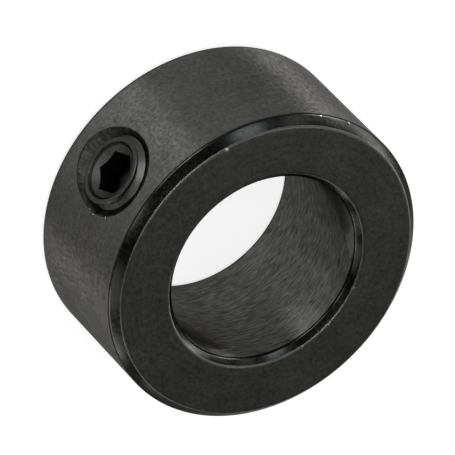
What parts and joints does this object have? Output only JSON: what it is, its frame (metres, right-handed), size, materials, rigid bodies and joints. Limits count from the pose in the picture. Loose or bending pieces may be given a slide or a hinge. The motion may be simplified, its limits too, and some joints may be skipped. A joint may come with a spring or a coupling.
{
  "type": "shaft collar",
  "caption": "Solid steel shaft collar with a countersunk radial hole and a hexagon-socket set screw that clamps it on a shaft.",
  "frame": {"origin": "centre of the ring's lower end face, on the bore's axis", "axes": "+Z along the bore, +X along the set screw, out of its hole"},
  "size_m": [0.0251, 0.025, 0.012],
  "materials": {
    "collar_steel": "black oxide, satin",
    "screw_steel": "black oxide, satin"
  },
  "bodies": {
    "collar": {"collar_ring": "collar_steel"},
    "screw": {"set_screw": "screw_steel"}
  },
  "joints": [
    {"name": "screw_feed", "type": "slide", "parent": "collar", "child": "screw", "axis": [1, 0, 0], "range_m": [-0.002, 0.002]}
  ]
}
